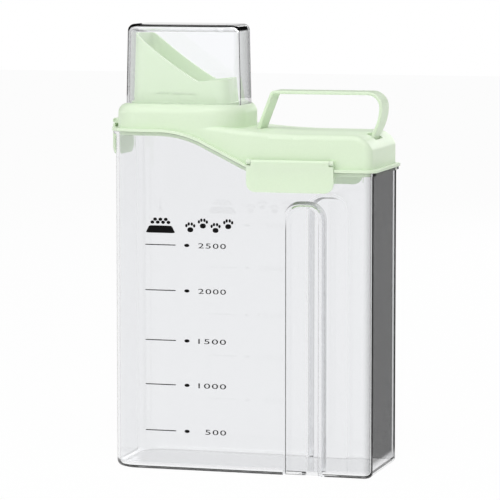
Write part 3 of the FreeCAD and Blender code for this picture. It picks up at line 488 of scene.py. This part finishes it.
def bowl(middle, wide, tall, lean):
    """A dish with small round corners; its width changes by the lean from foot to top."""
    outline = oval(middle, wide / 2, tall / 2, power=9.0, count=72)
    share = (outline[:, 1] - middle[1]) / tall
    outline[:, 0] = middle[0] + (outline[:, 0] - middle[0]) * (1 + lean * share)
    return outline


def paw(middle, size):
    """A pad and four toes; the toes stand on an arc over the pad."""
    toes = np.column_stack([
        middle[0] + size * 0.44 * np.sin(TOE_ANGLES),
        middle[1] + size * (0.44 * np.cos(TOE_ANGLES) - 0.13),
    ])
    pad = oval((middle[0], middle[1] - 0.20 * size), 0.26 * size, 0.21 * size, power=2.3)
    return [pad] + [oval(toe, 0.105 * size, 0.145 * size) for toe in toes]


heap = [
    oval((BOWL_MIDDLE[0] + HEAP_STEP * step, HEAP_BASE + HEAP_RISE * rise), 1.45, 1.2)
    for step, rise in HEAP_ROWS
]
printed("bowl_picture", [bowl(BOWL_MIDDLE, BOWL_WIDE, BOWL_TALL, BOWL_LEAN)] + heap)
paws = []
for step, sway in enumerate((-1, 1, -1, 1)):
    paws += paw((PAW_FIRST + PAW_STEP * step, PAW_LEVEL + PAW_SWAY * sway), PAW_SIZE)
printed("paw_prints", paws)

# %% [markdown]
# ## The ribs on the spout
# Two short ribs stand on the spout's front wall, behind the cup. On the real spout they are part of
# the moulding. They could be a bump in its finish, but they catch light on their upper edge, which
# needs geometry. They are flat prisms like the print, only thicker: they stand a little proud, are
# sunk into the wall, have the mint finish and ride with the lid.

# %% Spout ribs
RIB_FRONT, RIB_BACK, RIB_LEVEL = -0.02490, -0.02420, 276.9
ribs = [
    oval((-61.98, RIB_LEVEL), 4.6, 0.5, power=6.0),
    oval((-45.9, RIB_LEVEL), 9.2, 0.7, power=6.0),
]
printed("spout_ribs", ribs, RIB_FRONT, RIB_BACK, mint, "lid")


# %% [markdown]
# ## The floor and the white ground
# The object stands on white, and only a soft shadow shows where. White could come from strong
# lamps, but those would also bleach the object. Instead, what the eye sees directly, in a
# reflection or through the plastic is white of its own, and what lights the object stays softer.
# The floor keeps a small share of its real shading, and that is the shadow.

# %% Floor
FLOOR_ALBEDO = (0.93, 0.93, 0.93, 1)
FLOOR_WHITE_SHARE = 0.93


def seen_by_eye(tree):
    """1 for a ray from the camera, from a reflection or through clear plastic, else 0."""
    path = add(tree, "LightPath").outputs
    mirrored = calculate(tree, "MAXIMUM", path["Is Camera Ray"], path["Is Glossy Ray"])
    return calculate(tree, "MAXIMUM", mirrored, path["Is Transmission Ray"])


def mixed_output(tree, share, first, second):
    """Output = first * (1 - share) + second * share, for two shaders."""
    mix = add(tree, "MixShader")
    output = next(node for node in tree.nodes if node.type.startswith("OUTPUT"))
    tree.links.new(share, mix.inputs["Fac"])
    tree.links.new(first.outputs[0], mix.inputs[1])
    tree.links.new(second.outputs[0], mix.inputs[2])
    tree.links.new(mix.outputs[0], output.inputs["Surface"])


bpy.ops.mesh.primitive_plane_add(size=12, location=(0, 0, -0.0002))
floor = bpy.context.object
floor.name = "floor"
floor_white, tree, shader = new_material("floor_white", Roughness=0.9, Base_Color=FLOOR_ALBEDO)
share = calculate(tree, "MULTIPLY", seen_by_eye(tree), FLOOR_WHITE_SHARE)
mixed_output(tree, share, shader, add(tree, "Emission"))
floor.data.materials.append(floor_white)
print("floor at z", round(1000 * floor.location.z, 1), "mm")


# %% [markdown]
# ## Dark cards
# A photographer draws the edges of glass with black cards just outside the picture, which the
# glass reflects. These cards do the same and are seen by reflections only. One greys the tank's
# end wall, one blackens its far edge, and two draw the cup's edges.

# %% Dark cards
def dark_card(name, left, right, low, high, behind, shade):
    """An upright card at y = behind, from left to right and low to high, of one even shade."""
    card_finish, _, shader = new_material(
        name, Roughness=1.0, Base_Color=(0, 0, 0, 1), Specular_IOR_Level=0.0,
        Emission_Color=(shade, shade, shade, 1), Emission_Strength=1.0,
    )
    corners = [(left, behind, low), (right, behind, low), (right, behind, high), (left, behind, high)]
    card = new_object(name, corners, [(0, 1, 2, 3)], card_finish)
    for sight in ("camera", "diffuse", "transmission", "shadow", "volume_scatter"):
        setattr(card, "visible_" + sight, False)
    print(name, "is", round(1000 * (right - left)), "mm wide")


dark_card("tank_card", 0.1046, 0.5, 0.0, 0.222, 0.050, 0.31)
dark_card("tank_edge_card", 0.06, 0.1046, 0.0, 0.222, 0.050, 0.0)
dark_card("cup_right_card", -0.006, 0.3, 0.271, 0.45, 0.034, 0.02)
dark_card("cup_left_card", -0.4, -0.097, 0.271, 0.45, 0.034, 0.02)

# %% [markdown]
# ## Lamps and surround
# The photograph has almost no shadows: its light is broad, and mostly from the front left and from
# above. One sun would be simpler, but its shadows are hard. A large lamp near the object makes soft
# ones, so there are four square area lamps, and an even surround keeps the hollows of the lid and
# the spout light.

# %% Lamps
def soft_lamp(name, place, target, size, watts):
    """A square area lamp at a place, turned to a target."""
    data = bpy.data.lights.new(name, "AREA")
    data.size = size
    data.energy = watts
    lamp = bpy.data.objects.new(name, data)
    bpy.context.scene.collection.objects.link(lamp)
    aim(lamp, place, target)
    print(name, watts, "W")


TANK_MIDDLE, TURRET_TOP = (0, 0, 0.15), (-0.03, 0, 0.28)
soft_lamp("key_lamp", (-0.9, -1.5, 1.3), TANK_MIDDLE, 1.2, 8.6)
soft_lamp("top_lamp", (0.25, -0.75, 1.5), TURRET_TOP, 0.7, 7)
soft_lamp("back_lamp", (0.5, 1.7, 0.9), TANK_MIDDLE, 1.2, 7)
soft_lamp("fill_lamp", (1.6, -0.9, 0.9), TANK_MIDDLE, 1.0, 0.3)

# %% World
SURROUND_STRENGTH = 0.62
WHITE = (1, 1, 1, 1)
world = bpy.data.worlds.new("studio")
bpy.context.scene.world = world
world.use_nodes = True
tree = world.node_tree
surround = next(node for node in tree.nodes if node.type == "BACKGROUND")
surround.inputs["Color"].default_value = WHITE
surround.inputs["Strength"].default_value = SURROUND_STRENGTH
mixed_output(tree, seen_by_eye(tree), surround, add(tree, "Background", in_0=WHITE))
print("surround lights the object at", SURROUND_STRENGTH)
